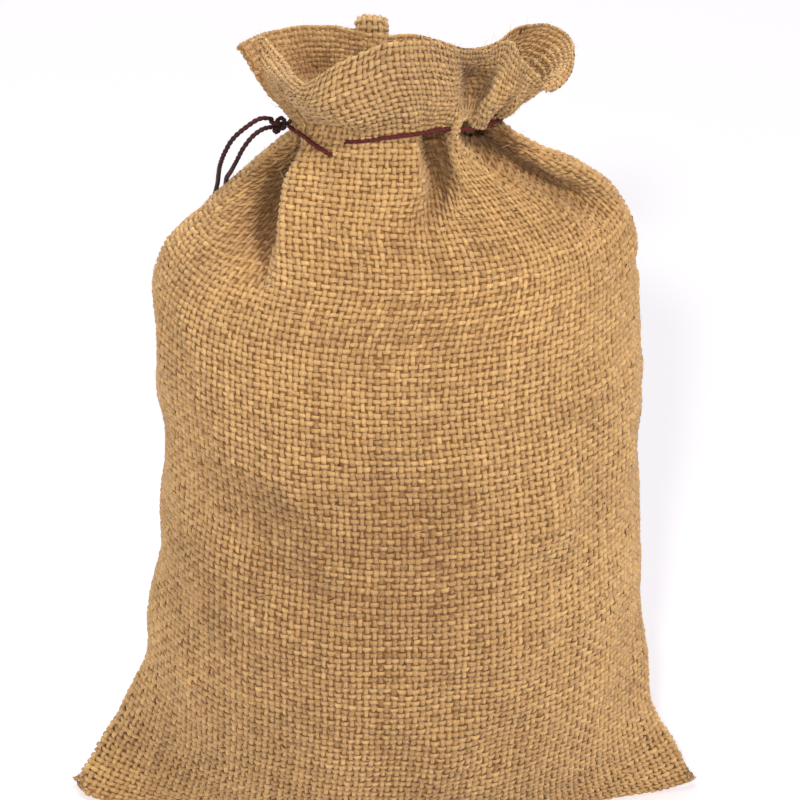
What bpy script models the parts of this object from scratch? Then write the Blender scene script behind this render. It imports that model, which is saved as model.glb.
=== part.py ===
import math

import bmesh
import bpy
import numpy as np

# A filled hessian drawstring sack. Metres, +Z up, the front faces -Y, the origin is the middle of the base.
# A place on the cloth is a pair: how far it lies round the sack, and how far above the bottom seam.
MM = 0.001
PANEL_WIDTH = 204 * MM  # from side seam to side seam, sewn flat
CLOTH_HEIGHT = 294 * MM  # from the bottom seam to the rim of the mouth
NECK_HEIGHT = 259 * MM  # along the cloth, where the drawstring sits
THROAT_HEIGHT = 267 * MM  # along the cloth, where the open mouth begins
WALL = 1.8 * MM  # cloth thickness at the mouth
CORD_DIAMETER = 1.6 * MM

PANEL_COLUMNS = 40  # faces across one panel
BODY_ROWS = 30
MOUTH_ROWS = 8
INNER_ROWS = 6
OUTLINE_STEPS = 400
NORMAL_SMOOTHING = 3
LEAN_COST = 0.6  # height that the mouth's cloth gives up for each unit that it leans out

# Rows of cloth from the bottom seam up, in millimetres. cloth is the distance above the bottom seam, the next
# four columns are where the side seams are, then the reach and height of the middle of each panel. point is the
# sharpness of the section's ends: 0.5 is an ellipse and 1 a lens.
ROW_COLUMNS = (
    "cloth left left_z right right_z front front_z back back_z point"
).split()
ROWS = np.array(
    [
        (0, -101, 2.5, 101, 2.5, 0, -7, 0, -7, 1.0),
        (13, -94, 12.5, 95, 12.5, 25, -1.5, 25, -1.5, 1.0),
        (23, -88.5, 20.5, 90.5, 20.5, 35, 7, 35, 7, 0.92),
        (37, -82, 33, 86, 33, 42.5, 21, 42.5, 21, 0.8),
        (54, -76.5, 49.5, 83.5, 49.5, 47.5, 38, 48, 38, 0.66),
        (71, -73.5, 66.5, 82, 66.5, 50, 55, 51, 55, 0.57),
        (87, -71.7, 82.5, 80.8, 82.5, 50.5, 71, 52, 71, 0.52),
        (110, -69.7, 105.5, 79.1, 105.5, 50.8, 94, 52, 94, 0.5),
        (134, -68.3, 129.5, 78.9, 129.5, 50, 118, 51, 118, 0.5),
        (156, -69.9, 151.5, 78.5, 151.5, 48.2, 140, 48.5, 140, 0.5),
        (174, -70.8, 169.5, 77.5, 169.5, 44, 157.5, 44, 158, 0.5),
        (192, -69, 187, 76.9, 187, 37, 174, 37, 175, 0.5),
        (211, -59, 203, 73.3, 205.5, 26, 190, 28, 192, 0.5),
        (236, -40.5, 219, 56, 223, 14.5, 213, 17, 214, 0.5),
        (251, -30, 227.5, 39, 230.5, 11.4, 228.5, 12, 228.5, 0.5),
        (255, -27.5, 230.4, 35.7, 233.4, 10.8, 232.6, 10.8, 232.6, 0.5),
        (259, -27, 234.2, 35.1, 237.2, 10.6, 236.6, 10.6, 236.6, 0.5),
    ]
)

# The rim of the mouth from the left side seam along the front, in millimetres, and then along the back. spread is
# how far the cloth leans out as it leaves the neck, and flare how far it does at the rim.
RIM_COLUMNS = "x y z spread flare".split()
FRONT_RIM = np.array(
    [
        (-45, 4, 255.7, 0.6, 0.9),
        (-39.6, -8, 252.9, 0.5, 1.0),
        (-32, -16, 251.3, 0.6, 1.0),
        (-23.6, -20, 256.4, 0.5, 0.7),
        (-14.2, -18, 259.7, 0.4, 0.5),
        (-6.8, -14, 262.4, 0.2, 0.3),
        (2, -12, 264.8, 0.1, 0.15),
        (10.9, -11, 265.3, 0.1, 0.1),
        (19.8, -9, 263.4, 0.1, 0.1),
        (27.3, -5, 260.4, 0.3, 0.1),
        (33.8, -8, 264, 0.6, 0.1),
        (40.8, -10, 269.7, 1.0, 0.1),
        (48.9, -6, 267.9, 1.3, 0.0),
        (55.6, -3, 263.4, 1.4, 0.0),
        (58.3, 2, 255, 1.4, 0.1),
    ]
)
BACK_RIM = np.array(
    [
        (-45, 4, 255.7, 0.6, 0.9),
        (-40.1, 12, 256.5, 0.6, 0.7),
        (-32.7, 18, 256.5, 0.6, 0.6),
        (-23.1, 22, 256.4, 0.6, 0.6),
        (-10.1, 18, 257.1, 0.5, 0.5),
        (5, 14, 256.2, 0.4, 0.4),
        (17, 11, 253.4, 0.3, 0.3),
        (29.1, 11, 252.8, 0.5, 0.3),
        (41.1, 13, 254.5, 0.9, 0.3),
        (53.1, 11, 254.1, 1.2, 0.1),
        (58.3, 2, 255, 1.4, 0.1),
    ]
)

# Folds that run from the neck. The first is +1 on the front panel and -1 on the back one. across is the share of
# the panel's outline from the left seam, at the fold's low and high end; cloth is its height, depth is inwards.
# hidden is the width of cloth that the fold takes up.
FOLD_COLUMNS = (
    "panel low_across low_cloth high_across high_cloth depth width hidden"
).split()
FOLDS = np.array(
    [
        (1, 0.17, 190, 0.09, 262, 6.5, 0.045, 30),  # hollow at the left shoulder
        (1, 0.22, 196, 0.15, 256, -1.6, 0.035, 0),  # ridge beside it
        (1, 0.67, 214, 0.70, 262, 4.2, 0.05, 26),  # hollow right of the middle
        (1, 0.84, 262, 0.83, 286, 2.6, 0.045, 0),  # pleat above the drawstring
        (1, 0.90, 204, 0.90, 260, 3.4, 0.035, 26),  # crease at the right shoulder
        (-1, 0.16, 200, 0.18, 268, 4.0, 0.05, 28),
        (-1, 0.47, 206, 0.45, 268, 3.6, 0.06, 30),
        (-1, 0.80, 198, 0.78, 268, 4.2, 0.05, 28),
    ]
)

FOLD_RISE = 0.7  # share of a fold's run in which it deepens
FOLD_FALL = 0.3  # share in which it fades past its high end
FOLD_STEEPNESS = 0.6  # how narrow the strip is that takes up the cloth, against the fold's width

# The drawstring lies in an oval round the neck and is knotted at the left. Its two free ends hang over the left
# shoulder. Sizes and points in millimetres, from the knot to the tip.
LOOP_MIDDLE = (4.1, 0, 235)
LOOP_REACH = (34.3, 13.4)
LOOP_TILT = 1.6  # how much higher it lies at the right seam, and lower at the left
LOOP_ENDS = (0.25, 0.055)  # radians between the left seam and its front and back end
LOOP_POINTS = 64
KNOT_MIDDLE = (-31.7, -2.4, 234.4)
KNOT_REACH = (2.2, 2.0, 2.3)
OUTER_END = (
    (-33, -3.6, 236.8),
    (-36.5, -5.4, 237.9),
    (-41.1, -7.0, 235.7),
    (-45.3, -8.0, 232.0),
    (-47.5, -7.5, 227.8),
    (-49.1, -5.0, 222.6),
    (-49.9, 0.0, 216.9),
    (-50.5, 6.0, 211.0),
    (-51.7, 11.5, 204.6),
    (-53.5, 15.0, 197.5),
)
INNER_END = (
    (-33.1, -4.5, 234.7),
    (-36, -7.2, 235.2),
    (-38.9, -9.4, 234.0),
    (-41.7, -10.6, 230.8),
    (-43.9, -10.0, 226.2),
    (-45.7, -6.4, 221.2),
    (-46.9, -0.6, 216.9),
    (-47.7, 5.4, 213.0),
    (-48.3, 11.0, 208.2),
    (-49.1, 15.6, 202.2),
)
END_POINTS = 18


def table(columns, rows):
    return {name: rows[:, index] for index, name in enumerate(columns)}


def smooth(known, values, wanted):
    """Cubic interpolation that passes through the table's values."""
    slopes = np.gradient(values, known, axis=0)
    span = np.clip(np.searchsorted(known, wanted, side="right") - 1, 0, len(known) - 2)
    width = known[span + 1] - known[span]
    t = (wanted - known[span]) / width
    shape = (-1,) + (1,) * (np.ndim(values) - 1)
    t, width = t.reshape(shape), width.reshape(shape)
    return (
        (2 * t**3 - 3 * t**2 + 1) * values[span]
        + (t**3 - 2 * t**2 + t) * width * slopes[span]
        + (3 * t**2 - 2 * t**3) * values[span + 1]
        + (t**3 - t**2) * width * slopes[span + 1]
    )


def ease(value):
    value = np.clip(value, 0, 1)
    return value * value * (3 - 2 * value)


def fold_strength(fold, cloth):
    """1 along the middle of the fold's run, 0 past its ends."""
    run = fold["high_cloth"] - fold["low_cloth"]
    past_high = fold["high_cloth"] + FOLD_FALL / 2 * run - cloth
    return ease((cloth - fold["low_cloth"]) / (FOLD_RISE * run)) * ease(
        past_high / (FOLD_FALL * run)
    )


def fold_across(fold, cloth):
    share = (cloth - fold["low_cloth"]) / (fold["high_cloth"] - fold["low_cloth"])
    return fold["low_across"] + (fold["high_across"] - fold["low_across"]) * share


def folds_of(panel):
    rows = [dict(zip(FOLD_COLUMNS, row)) for row in FOLDS]
    return [fold for fold in rows if fold["panel"] == panel]


def outline_share(panel, cloth, across_cloth):
    """Where a share of the panel's cloth lies along its outline, with the cloth that the folds take up."""
    along = np.linspace(0, 1, OUTLINE_STEPS)
    used = along.copy()
    for fold in folds_of(panel):
        taken = fold["hidden"] / (PANEL_WIDTH / MM) * fold_strength(fold, cloth)
        middle = fold_across(fold, cloth)
        step = np.tanh((along - middle) / (FOLD_STEEPNESS * fold["width"]))
        used += taken * 0.5 * (step - along * 2 + 1)
    used = (used - used[0]) / (used[-1] - used[0])
    return np.interp(across_cloth, used, along)


def inward(panel, cloth, along):
    depth = np.zeros_like(along)
    for fold in folds_of(panel):
        offset = (along - fold_across(fold, cloth)) / fold["width"]
        depth += fold["depth"] * fold_strength(fold, cloth) * np.exp(-(offset**2))
    return depth


def body_row(panel, row, along):
    """Points of one row of cloth below the neck, in millimetres."""
    reach, middle_z = (
        (row["front"], row["front_z"]) if panel > 0 else (row["back"], row["back_z"])
    )
    angle = np.linspace(0, math.pi, OUTLINE_STEPS)
    half = (row["right"] - row["left"]) / 2
    x = (row["right"] + row["left"]) / 2 - half * np.cos(angle)
    bulge = np.sin(angle) ** (2 * row["point"])
    steps = np.hypot(np.diff(x), np.diff(bulge * reach))
    length = np.concatenate([[0], np.cumsum(steps)])
    at = np.interp(along * length[-1], length, angle)
    bulge = np.sin(at) ** (2 * row["point"])
    x = (row["right"] + row["left"]) / 2 - half * np.cos(at)
    y = -panel * reach * bulge
    side_z = row["left_z"] + (row["right_z"] - row["left_z"]) * (x - row["left"]) / (
        2 * half
    )
    z = side_z + (middle_z - side_z) * bulge
    nx, ny = -np.cos(at) / half, -panel * np.sin(at) / max(reach, 1)
    size = np.hypot(nx, ny)
    depth = inward(panel, row["cloth"], along)
    return np.stack([x - depth * nx / size, y - depth * ny / size, z], axis=1)


def rim_row(panel, along):
    rim = FRONT_RIM if panel > 0 else BACK_RIM
    steps = np.linalg.norm(np.diff(rim[:, :3], axis=0), axis=1)
    length = np.concatenate([[0], np.cumsum(steps)])
    return smooth(length / length[-1], rim, along)


def row_at(cloth):
    columns = table(ROW_COLUMNS, ROWS)
    values = smooth(columns["cloth"], ROWS, np.array([cloth]))[0]
    return dict(zip(ROW_COLUMNS, values))


def mouth_row(panel, cloth, along):
    """Points of one row of cloth between the neck and the rim, in millimetres."""
    neck_cloth, rim_cloth = NECK_HEIGHT / MM, CLOTH_HEIGHT / MM
    t = ((cloth - neck_cloth) / (rim_cloth - neck_cloth)) * np.ones((len(along), 1))
    neck = body_row(panel, row_at(neck_cloth), along)
    rim = rim_row(panel, along)
    spread, flare, rim = rim[:, 3:4], rim[:, 4:], rim[:, :3]
    outward = rim - neck
    outward[:, 2] = 0
    outward /= np.linalg.norm(outward, axis=1)[:, None]
    rise = rim_cloth - neck_cloth
    up = np.array([0, 0, 1.0])
    leave = rise * (spread * outward + (1 - LEAN_COST * spread) * up)
    arrive = rise * (flare * outward + (1 - LEAN_COST * flare) * up)
    points = (
        (2 * t**3 - 3 * t**2 + 1) * neck
        + (t**3 - 2 * t**2 + t) * leave
        + (3 * t**2 - 2 * t**3) * rim
        + (t**3 - t**2) * arrive
    )
    depth = inward(panel, cloth, along) - inward(panel, neck_cloth, along) * (
        1 - t[:, 0]
    )
    points[:, 1] += panel * depth
    return points


def cloth_ring(cloth):
    """One closed row of cloth: the front from left seam to right seam, then the back from right to left."""
    cloth = cloth / MM
    share = np.linspace(0, 1, PANEL_COLUMNS + 1)
    halves = []
    for panel in (1, -1):
        along = outline_share(panel, cloth, share)
        if cloth <= NECK_HEIGHT / MM:
            halves.append(body_row(panel, row_at(cloth), along))
        else:
            halves.append(mouth_row(panel, cloth, along))
    front, back = halves
    ring = np.concatenate([front[:-1], back[:0:-1]]) * MM
    ring[:, 2] = np.maximum(ring[:, 2], 0)
    return ring


def inner_rings(rings, thickness):
    """Rows of cloth moved towards the inside of the mouth, along the cloth's smoothed normals."""
    rings = np.array(rings)
    along = np.roll(rings, -1, axis=1) - np.roll(rings, 1, axis=1)
    normals = np.cross(along, np.gradient(rings, axis=0))
    for _ in range(NORMAL_SMOOTHING):
        normals /= np.linalg.norm(normals, axis=2)[:, :, None]
        normals += np.roll(normals, 1, axis=1) + np.roll(normals, -1, axis=1)
    normals /= np.linalg.norm(normals, axis=2)[:, :, None]
    return rings + thickness * normals


def closed_row(mesh, ring):
    """A row whose front and back halves share their vertices, as at a seam."""
    half = PANEL_COLUMNS
    middle = [ring[0]] + [
        (ring[index] + ring[-index]) / 2 for index in range(1, half)
    ] + [ring[half]]
    verts = [mesh.verts.new(point) for point in middle]
    return verts + verts[-2:0:-1]


def bridge(mesh, row, after_row):
    """Triangles between two rows. They fan from the side seams of the first one, which may be a closed row."""
    count = len(row)
    for index in range(count):
        after = (index + 1) % count
        near, near_after, far, far_after = (
            row[index], row[after], after_row[index], after_row[after]
        )
        if index % PANEL_COLUMNS < PANEL_COLUMNS / 2:
            corners = (near, near_after, far_after), (near, far_after, far)
        else:
            corners = (near, near_after, far), (near_after, far_after, far)
        for triangle in corners:
            mesh.faces.new(triangle)


def add_object(name, mesh_data, material):
    piece = bpy.data.objects.new(name, mesh_data)
    piece.data.materials.append(material)
    bpy.context.scene.collection.objects.link(piece)
    return piece


def add_material(name, colour, roughness):
    material = bpy.data.materials.new(name)
    material.use_nodes = True
    shader = material.node_tree.nodes["Principled BSDF"]
    shader.inputs["Base Color"].default_value = (*colour, 1)
    shader.inputs["Roughness"].default_value = roughness
    return material


def make_sack(material):
    mesh = bmesh.new()
    body = np.linspace(0, NECK_HEIGHT, BODY_ROWS + 1)
    mouth = np.linspace(NECK_HEIGHT, CLOTH_HEIGHT, MOUTH_ROWS + 1)[1:]
    outer = [cloth_ring(height) for height in (*body, *mouth)]
    rows = [closed_row(mesh, outer[0])]
    rows += [[mesh.verts.new(point) for point in ring] for ring in outer[1:]]
    inner_heights = np.linspace(CLOTH_HEIGHT, THROAT_HEIGHT, INNER_ROWS + 1)
    inner = inner_rings([cloth_ring(height) for height in inner_heights], WALL)
    rows += [[mesh.verts.new(point) for point in ring] for ring in inner[:-1]]
    rows.append(closed_row(mesh, inner[-1]))
    for row, after_row in zip(rows[:-1], rows[1:-1]):
        bridge(mesh, row, after_row)
    bridge(mesh, rows[-1], rows[-2])
    bmesh.ops.recalc_face_normals(mesh, faces=mesh.faces[:])
    data = bpy.data.meshes.new("sack")
    mesh.to_mesh(data)
    mesh.free()
    data.shade_smooth()
    return add_object("sack", data, material)


def add_cord(name, points, material):
    """A tube along points that are in millimetres."""
    curve = bpy.data.curves.new(name, "CURVE")
    curve.dimensions = "3D"
    curve.bevel_depth = CORD_DIAMETER / 2
    curve.bevel_resolution = 2
    curve.use_fill_caps = True
    line = curve.splines.new("POLY")
    line.points.add(len(points) - 1)
    for point, place in zip(line.points, points):
        point.co = (*(place * MM), 1)
    return add_object(name, curve, material)


def make_loop(material):
    """Open at the left, where both its ends go into the knot."""
    front_end, back_end = LOOP_ENDS
    angle = math.pi + np.linspace(front_end, 2 * math.pi - back_end, LOOP_POINTS)
    x = LOOP_REACH[0] * np.cos(angle)
    points = [
        x + LOOP_MIDDLE[0],
        LOOP_REACH[1] * np.sin(angle),
        LOOP_MIDDLE[2] + LOOP_TILT * x / LOOP_REACH[0],
    ]
    add_cord("drawstring_loop", np.stack(points, axis=1), material)


def make_knot(material):
    mesh = bmesh.new()
    bmesh.ops.create_uvsphere(mesh, u_segments=14, v_segments=9, radius=1)
    for vert in mesh.verts:
        vert.co = [
            (middle + reach * along) * MM
            for middle, reach, along in zip(KNOT_MIDDLE, KNOT_REACH, vert.co)
        ]
    data = bpy.data.meshes.new("drawstring_knot")
    mesh.to_mesh(data)
    mesh.free()
    data.shade_smooth()
    add_object("drawstring_knot", data, material)


def make_end(name, route, material):
    route = np.array(route)
    steps = np.linalg.norm(np.diff(route, axis=0), axis=1)
    length = np.concatenate([[0], np.cumsum(steps)])
    points = smooth(length, route, np.linspace(0, length[-1], END_POINTS))
    add_cord(name, points, material)


for item in list(bpy.data.objects):
    bpy.data.objects.remove(item, do_unlink=True)
make_sack(add_material("hessian", (0.52, 0.34, 0.16), 0.9))
cord = add_material("dark_cord", (0.045, 0.012, 0.01), 0.6)
make_loop(cord)
make_knot(cord)
make_end("drawstring_end_outer", OUTER_END, cord)
make_end("drawstring_end_inner", INNER_END, cord)
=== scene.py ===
import math

import bpy
import numpy as np
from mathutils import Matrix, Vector


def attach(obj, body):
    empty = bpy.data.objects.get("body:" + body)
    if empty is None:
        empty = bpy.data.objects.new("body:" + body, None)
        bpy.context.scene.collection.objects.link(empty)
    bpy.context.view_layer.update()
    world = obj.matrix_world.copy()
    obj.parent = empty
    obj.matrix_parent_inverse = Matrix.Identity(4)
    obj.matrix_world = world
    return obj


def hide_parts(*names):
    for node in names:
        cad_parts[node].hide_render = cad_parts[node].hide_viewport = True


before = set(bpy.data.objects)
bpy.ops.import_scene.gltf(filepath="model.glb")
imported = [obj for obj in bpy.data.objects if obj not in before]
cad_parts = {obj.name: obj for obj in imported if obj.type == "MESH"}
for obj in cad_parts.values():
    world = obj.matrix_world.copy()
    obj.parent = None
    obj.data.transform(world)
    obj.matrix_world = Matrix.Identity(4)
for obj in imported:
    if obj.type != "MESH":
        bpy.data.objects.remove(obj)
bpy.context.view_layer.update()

mm = 0.001
random = np.random.default_rng(11)

# camera and light

studio = {
    "aim": (0.005, 0.0, 0.1395),
    "elevation": 28.0,  # degrees above level
    "distance": 1.5,
    "widthAtAim": 0.248,  # metres across the picture at the aim point
    "sensor": 36.0,  # millimetres
    "floorReach": 8.0,
    "floor": {
        "Base Color": (0.93, 0.91, 0.93, 1),
        "Roughness": 0.9,
        "Emission Color": (0.96, 0.94, 1.0, 1),
        "Emission Strength": 0.47,
    },
    "world": {"Color": (0.97, 0.98, 1.0, 1), "Strength": 0.25},
}
lamps = [
    # name, place, size, watts, colour, whether it lights the floor too
    ("front", (-0.15, -1.7, 1.25), 0.14, 15.5, (1.0, 0.97, 0.94), True),
    ("right", (1.05, -0.8, 1.75), 0.5, 32.0, (1.0, 0.97, 0.93), False),
    ("left", (-1.5, -0.5, 0.9), 1.0, 10.0, (1.0, 0.98, 0.95), False),
    ("back", (0.1, 1.35, 1.45), 1.2, 20.0, (1.0, 0.99, 0.97), False),
    ("top", (-0.1, 0.4, 1.7), 1.4, 9.0, (1.0, 0.99, 0.97), True),
]


def fill(node, values):
    for name, value in values.items():
        node.inputs[name].default_value = value


def newMaterial(name, surface):
    material = bpy.data.materials.new(name)
    material.use_nodes = True
    shader = material.node_tree.nodes["Principled BSDF"]
    fill(shader, surface)
    return material, material.node_tree, shader


def makeCamera():
    data = bpy.data.cameras.new("camera")
    data.sensor_width = studio["sensor"]
    data.lens = studio["sensor"] * studio["distance"] / studio["widthAtAim"]
    camera = bpy.data.objects.new("camera", data)
    bpy.context.scene.collection.objects.link(camera)
    tilt = math.radians(studio["elevation"])
    away = Vector((0, -math.cos(tilt), math.sin(tilt))) * studio["distance"]
    camera.location = Vector(studio["aim"]) + away
    camera.rotation_euler = (math.pi / 2 - tilt, 0, 0)
    bpy.context.scene.camera = camera


def makeFloor():
    mesh = bpy.data.meshes.new("floor")
    reach = studio["floorReach"]
    corners = [(-reach, -reach, 0), (reach, -reach, 0), (reach, reach, 0), (-reach, reach, 0)]
    mesh.from_pydata(corners, [], [(0, 1, 2, 3)])
    floor = bpy.data.objects.new("floor", mesh)
    material = newMaterial("paleFloor", studio["floor"])[0]
    mesh.materials.append(material)
    bpy.context.scene.collection.objects.link(floor)
    return floor


def makeStudio():
    scene = bpy.context.scene
    scene.view_settings.view_transform = "Standard"
    world = bpy.data.worlds.new("studio")
    world.use_nodes = True
    fill(world.node_tree.nodes["Background"], studio["world"])
    scene.world = world
    floor = makeFloor()
    withoutFloor = bpy.data.collections.new("withoutFloor")
    withoutFloor.objects.link(floor)
    withoutFloor.collection_objects[0].light_linking.link_state = "EXCLUDE"
    for name, place, size, watts, color, lightsFloor in lamps:
        data = bpy.data.lights.new(name, "AREA")
        data.shape = "DISK"
        data.size = size
        data.energy = watts
        data.color = color
        lamp = bpy.data.objects.new(name, data)
        lamp.location = place
        aim = Vector(studio["aim"]) - Vector(place)
        lamp.rotation_euler = aim.to_track_quat("-Z", "Y").to_euler()
        scene.collection.objects.link(lamp)
        if not lightsFloor:
            lamp.light_linking.receiver_collection = withoutFloor


# small helpers for numbers


def smooth(known, values, wanted):
    # cubic interpolation that passes through the table's values
    slopes = np.gradient(values, known, axis=0)
    span = np.clip(np.searchsorted(known, wanted, side="right") - 1, 0, len(known) - 2)
    width = known[span + 1] - known[span]
    t = (wanted - known[span]) / width
    shape = (-1,) + (1,) * (np.ndim(values) - 1)
    t, width = t.reshape(shape), width.reshape(shape)
    return (
        (2 * t**3 - 3 * t**2 + 1) * values[span]
        + (t**3 - 2 * t**2 + t) * width * slopes[span]
        + (3 * t**2 - 2 * t**3) * values[span + 1]
        + (t**3 - t**2) * width * slopes[span + 1]
    )


def ease(value):
    value = np.clip(value, 0, 1)
    return value * value * (3 - 2 * value)


def unit(vectors):
    return vectors / np.maximum(np.linalg.norm(vectors, axis=-1, keepdims=True), 1e-12)


def travelled(points):
    # distance along a line of points, from its first one
    steps = np.linalg.norm(np.diff(points, axis=0), axis=1)
    return np.concatenate([[0], np.cumsum(steps)])


def softNoise(rows, columns, rowCells, columnCells):
    # random bumps about 1 high over a grid whose last column meets its first
    values = random.normal(size=(rowCells + 2, columnCells + 2))
    values[:, columnCells] = values[:, 0]
    values[:, columnCells + 1] = values[:, 1]
    down = np.linspace(0, rowCells, rows)
    over = np.linspace(0, columnCells, columns)
    i, j = down.astype(int), over.astype(int)
    s, t = ease(down - i)[:, None], ease(over - j)[None]
    top = values[i][:, j] * (1 - t) + values[i][:, j + 1] * t
    bottom = values[i + 1][:, j] * (1 - t) + values[i + 1][:, j + 1] * t
    return top * (1 - s) + bottom * s


def layeredNoise(rows, columns, layers):
    # each layer is its strength, then how many bumps it has up and round the sack
    return sum(strength * softNoise(rows, columns, up, around) for strength, up, around in layers)


def yarnNoise(yarns, samples, cells):
    # smooth along each yarn, with no likeness between neighbours
    values = random.normal(size=(yarns, cells + 2))
    over = np.linspace(0, cells, samples)
    j = over.astype(int)
    t = ease(over - j)[None]
    return values[:, j] * (1 - t) + values[:, j + 1] * t


# the shape of the cloth, in millimetres

# Rows of cloth from the bottom seam up. cloth is the distance above the bottom seam. Then come the
# places of the side seams, and the reach and height of the middle of each panel. point is 0.5 for an
# oval and 1 for a lens.
rowColumns = "cloth left leftZ right rightZ front frontZ back backZ point".split()
clothRows = np.array([
    (0, -101, 2.5, 101, 2.5, 0, -7, 0, -7, 1.0),
    (15, -94, 12.5, 95, 12.5, 25, -1.5, 25, -1.5, 1.0),
    (26.5, -88.5, 20.5, 90.5, 20.5, 35, 7, 35, 7, 0.92),
    (41, -82, 33, 86, 33, 42.5, 21, 42.5, 21, 0.8),
    (57.7, -76.5, 49.5, 83.5, 49.5, 47.5, 38, 48, 38, 0.66),
    (75, -73.5, 66.5, 82, 66.5, 50, 55, 51, 55, 0.57),
    (91.5, -71.7, 82.5, 80.8, 82.5, 50.5, 71, 52, 71, 0.52),
    (114.6, -69.7, 105.5, 79.1, 105.5, 50.8, 94, 52, 94, 0.5),
    (139.6, -68.3, 129.5, 78.9, 129.5, 50, 118, 51, 118, 0.5),
    (162.5, -69.9, 151.5, 78.5, 151.5, 48.2, 140, 48.5, 140, 0.5),
    (181.5, -70.8, 169.5, 77.5, 169.5, 44, 157.5, 44, 158, 0.5),
    (200.8, -69, 187, 76.9, 187, 37.5, 174, 37.5, 175, 0.5),
    (221.8, -59, 203, 73.3, 205.5, 28.5, 191, 29.5, 192.5, 0.5),
    (250.6, -40.5, 219, 56, 223, 16.5, 214, 18, 215, 0.5),
    (268, -30, 227.5, 39, 230.5, 11.6, 228.5, 12, 228.5, 0.5),
    (272.6, -27.5, 230.4, 35.7, 233.4, 10.8, 232.6, 10.8, 232.6, 0.5),
    (277, -27, 234.2, 35.1, 237.2, 10.6, 236.6, 10.6, 236.6, 0.5),
])

# The rim of the mouth from the left side seam to the right one: where it is, then which way the cloth
# leaves the neck, and which way it comes to the rim.
frontRim = np.array([
    (-44.2, 8, 255.3, -0.75, 0.25, 0.55, -0.5, 0.2, 0.55),
    (-40.1, 12, 255.8, -0.85, 0.4, 0.5, -0.2, 0.3, 0.5),
    (-36.3, 14, 256.4, -0.95, 0.5, 0.45, 0.3, 0.1, 0.5),
    (-32.3, 9, 254.2, -1.0, 0.45, 0.45, 0.8, -0.1, 0.35),
    (-28.2, 1, 252.5, -1.0, 0.15, 0.45, 0.9, 0.1, 0.3),
    (-25.7, -7, 252.5, -0.8, -0.35, 0.45, 0.7, 0.3, 0.35),
    (-23.2, -12, 252.5, -0.5, -0.75, 0.5, 0.4, 0.4, 0.45),
    (-18.1, -16, 257.5, -0.25, -0.8, 0.6, 0.15, 0.2, 0.8),
    (-13.6, -16, 260.4, -0.15, -0.6, 0.7, 0.05, 0.1, 0.9),
    (-8.3, -15, 262.5, -0.1, -0.4, 0.8, 0, 0, 1),
    (-3.3, -14, 264.3, 0, -0.25, 0.9, 0, 0, 1),
    (1.2, -13, 265.8, 0, -0.15, 0.95, 0, 0, 1),
    (8, -12, 266, 0, -0.1, 0.95, 0, 0, 1),
    (14.5, -10, 265.2, 0, -0.1, 0.95, 0, 0, 1),
    (21.3, -7, 261.9, 0, -0.1, 0.9, 0, 0, 0.9),
    (26.4, -4, 259.8, 0.1, -0.15, 0.85, 0.05, 0, 0.9),
    (31.8, -1, 258.9, 0.2, -0.2, 0.85, 0.1, 0.1, 0.85),
    (34.6, 1, 260, 0.3, -0.3, 0.8, 0.15, 0.1, 0.85),
    (36.6, 1, 260.8, 0.35, -0.35, 0.8, 0.2, 0.1, 0.8),
    (38.7, -1, 260.9, 0.4, -0.4, 0.75, 0.25, 0.05, 0.8),
    (40.4, -5, 259.4, 0.45, -0.45, 0.7, 0.3, 0, 0.75),
    (42.4, -8, 257.8, 0.5, -0.5, 0.65, 0.35, 0, 0.65),
    (44.7, -11, 256.9, 0.6, -0.55, 0.55, 0.4, 0, 0.5),
    (46.8, -14, 254.7, 0.7, -0.55, 0.4, 0.4, -0.1, 0.3),
    (48, -16, 250, 0.8, -0.5, 0.3, 0.3, -0.3, -0.1),
])
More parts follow.
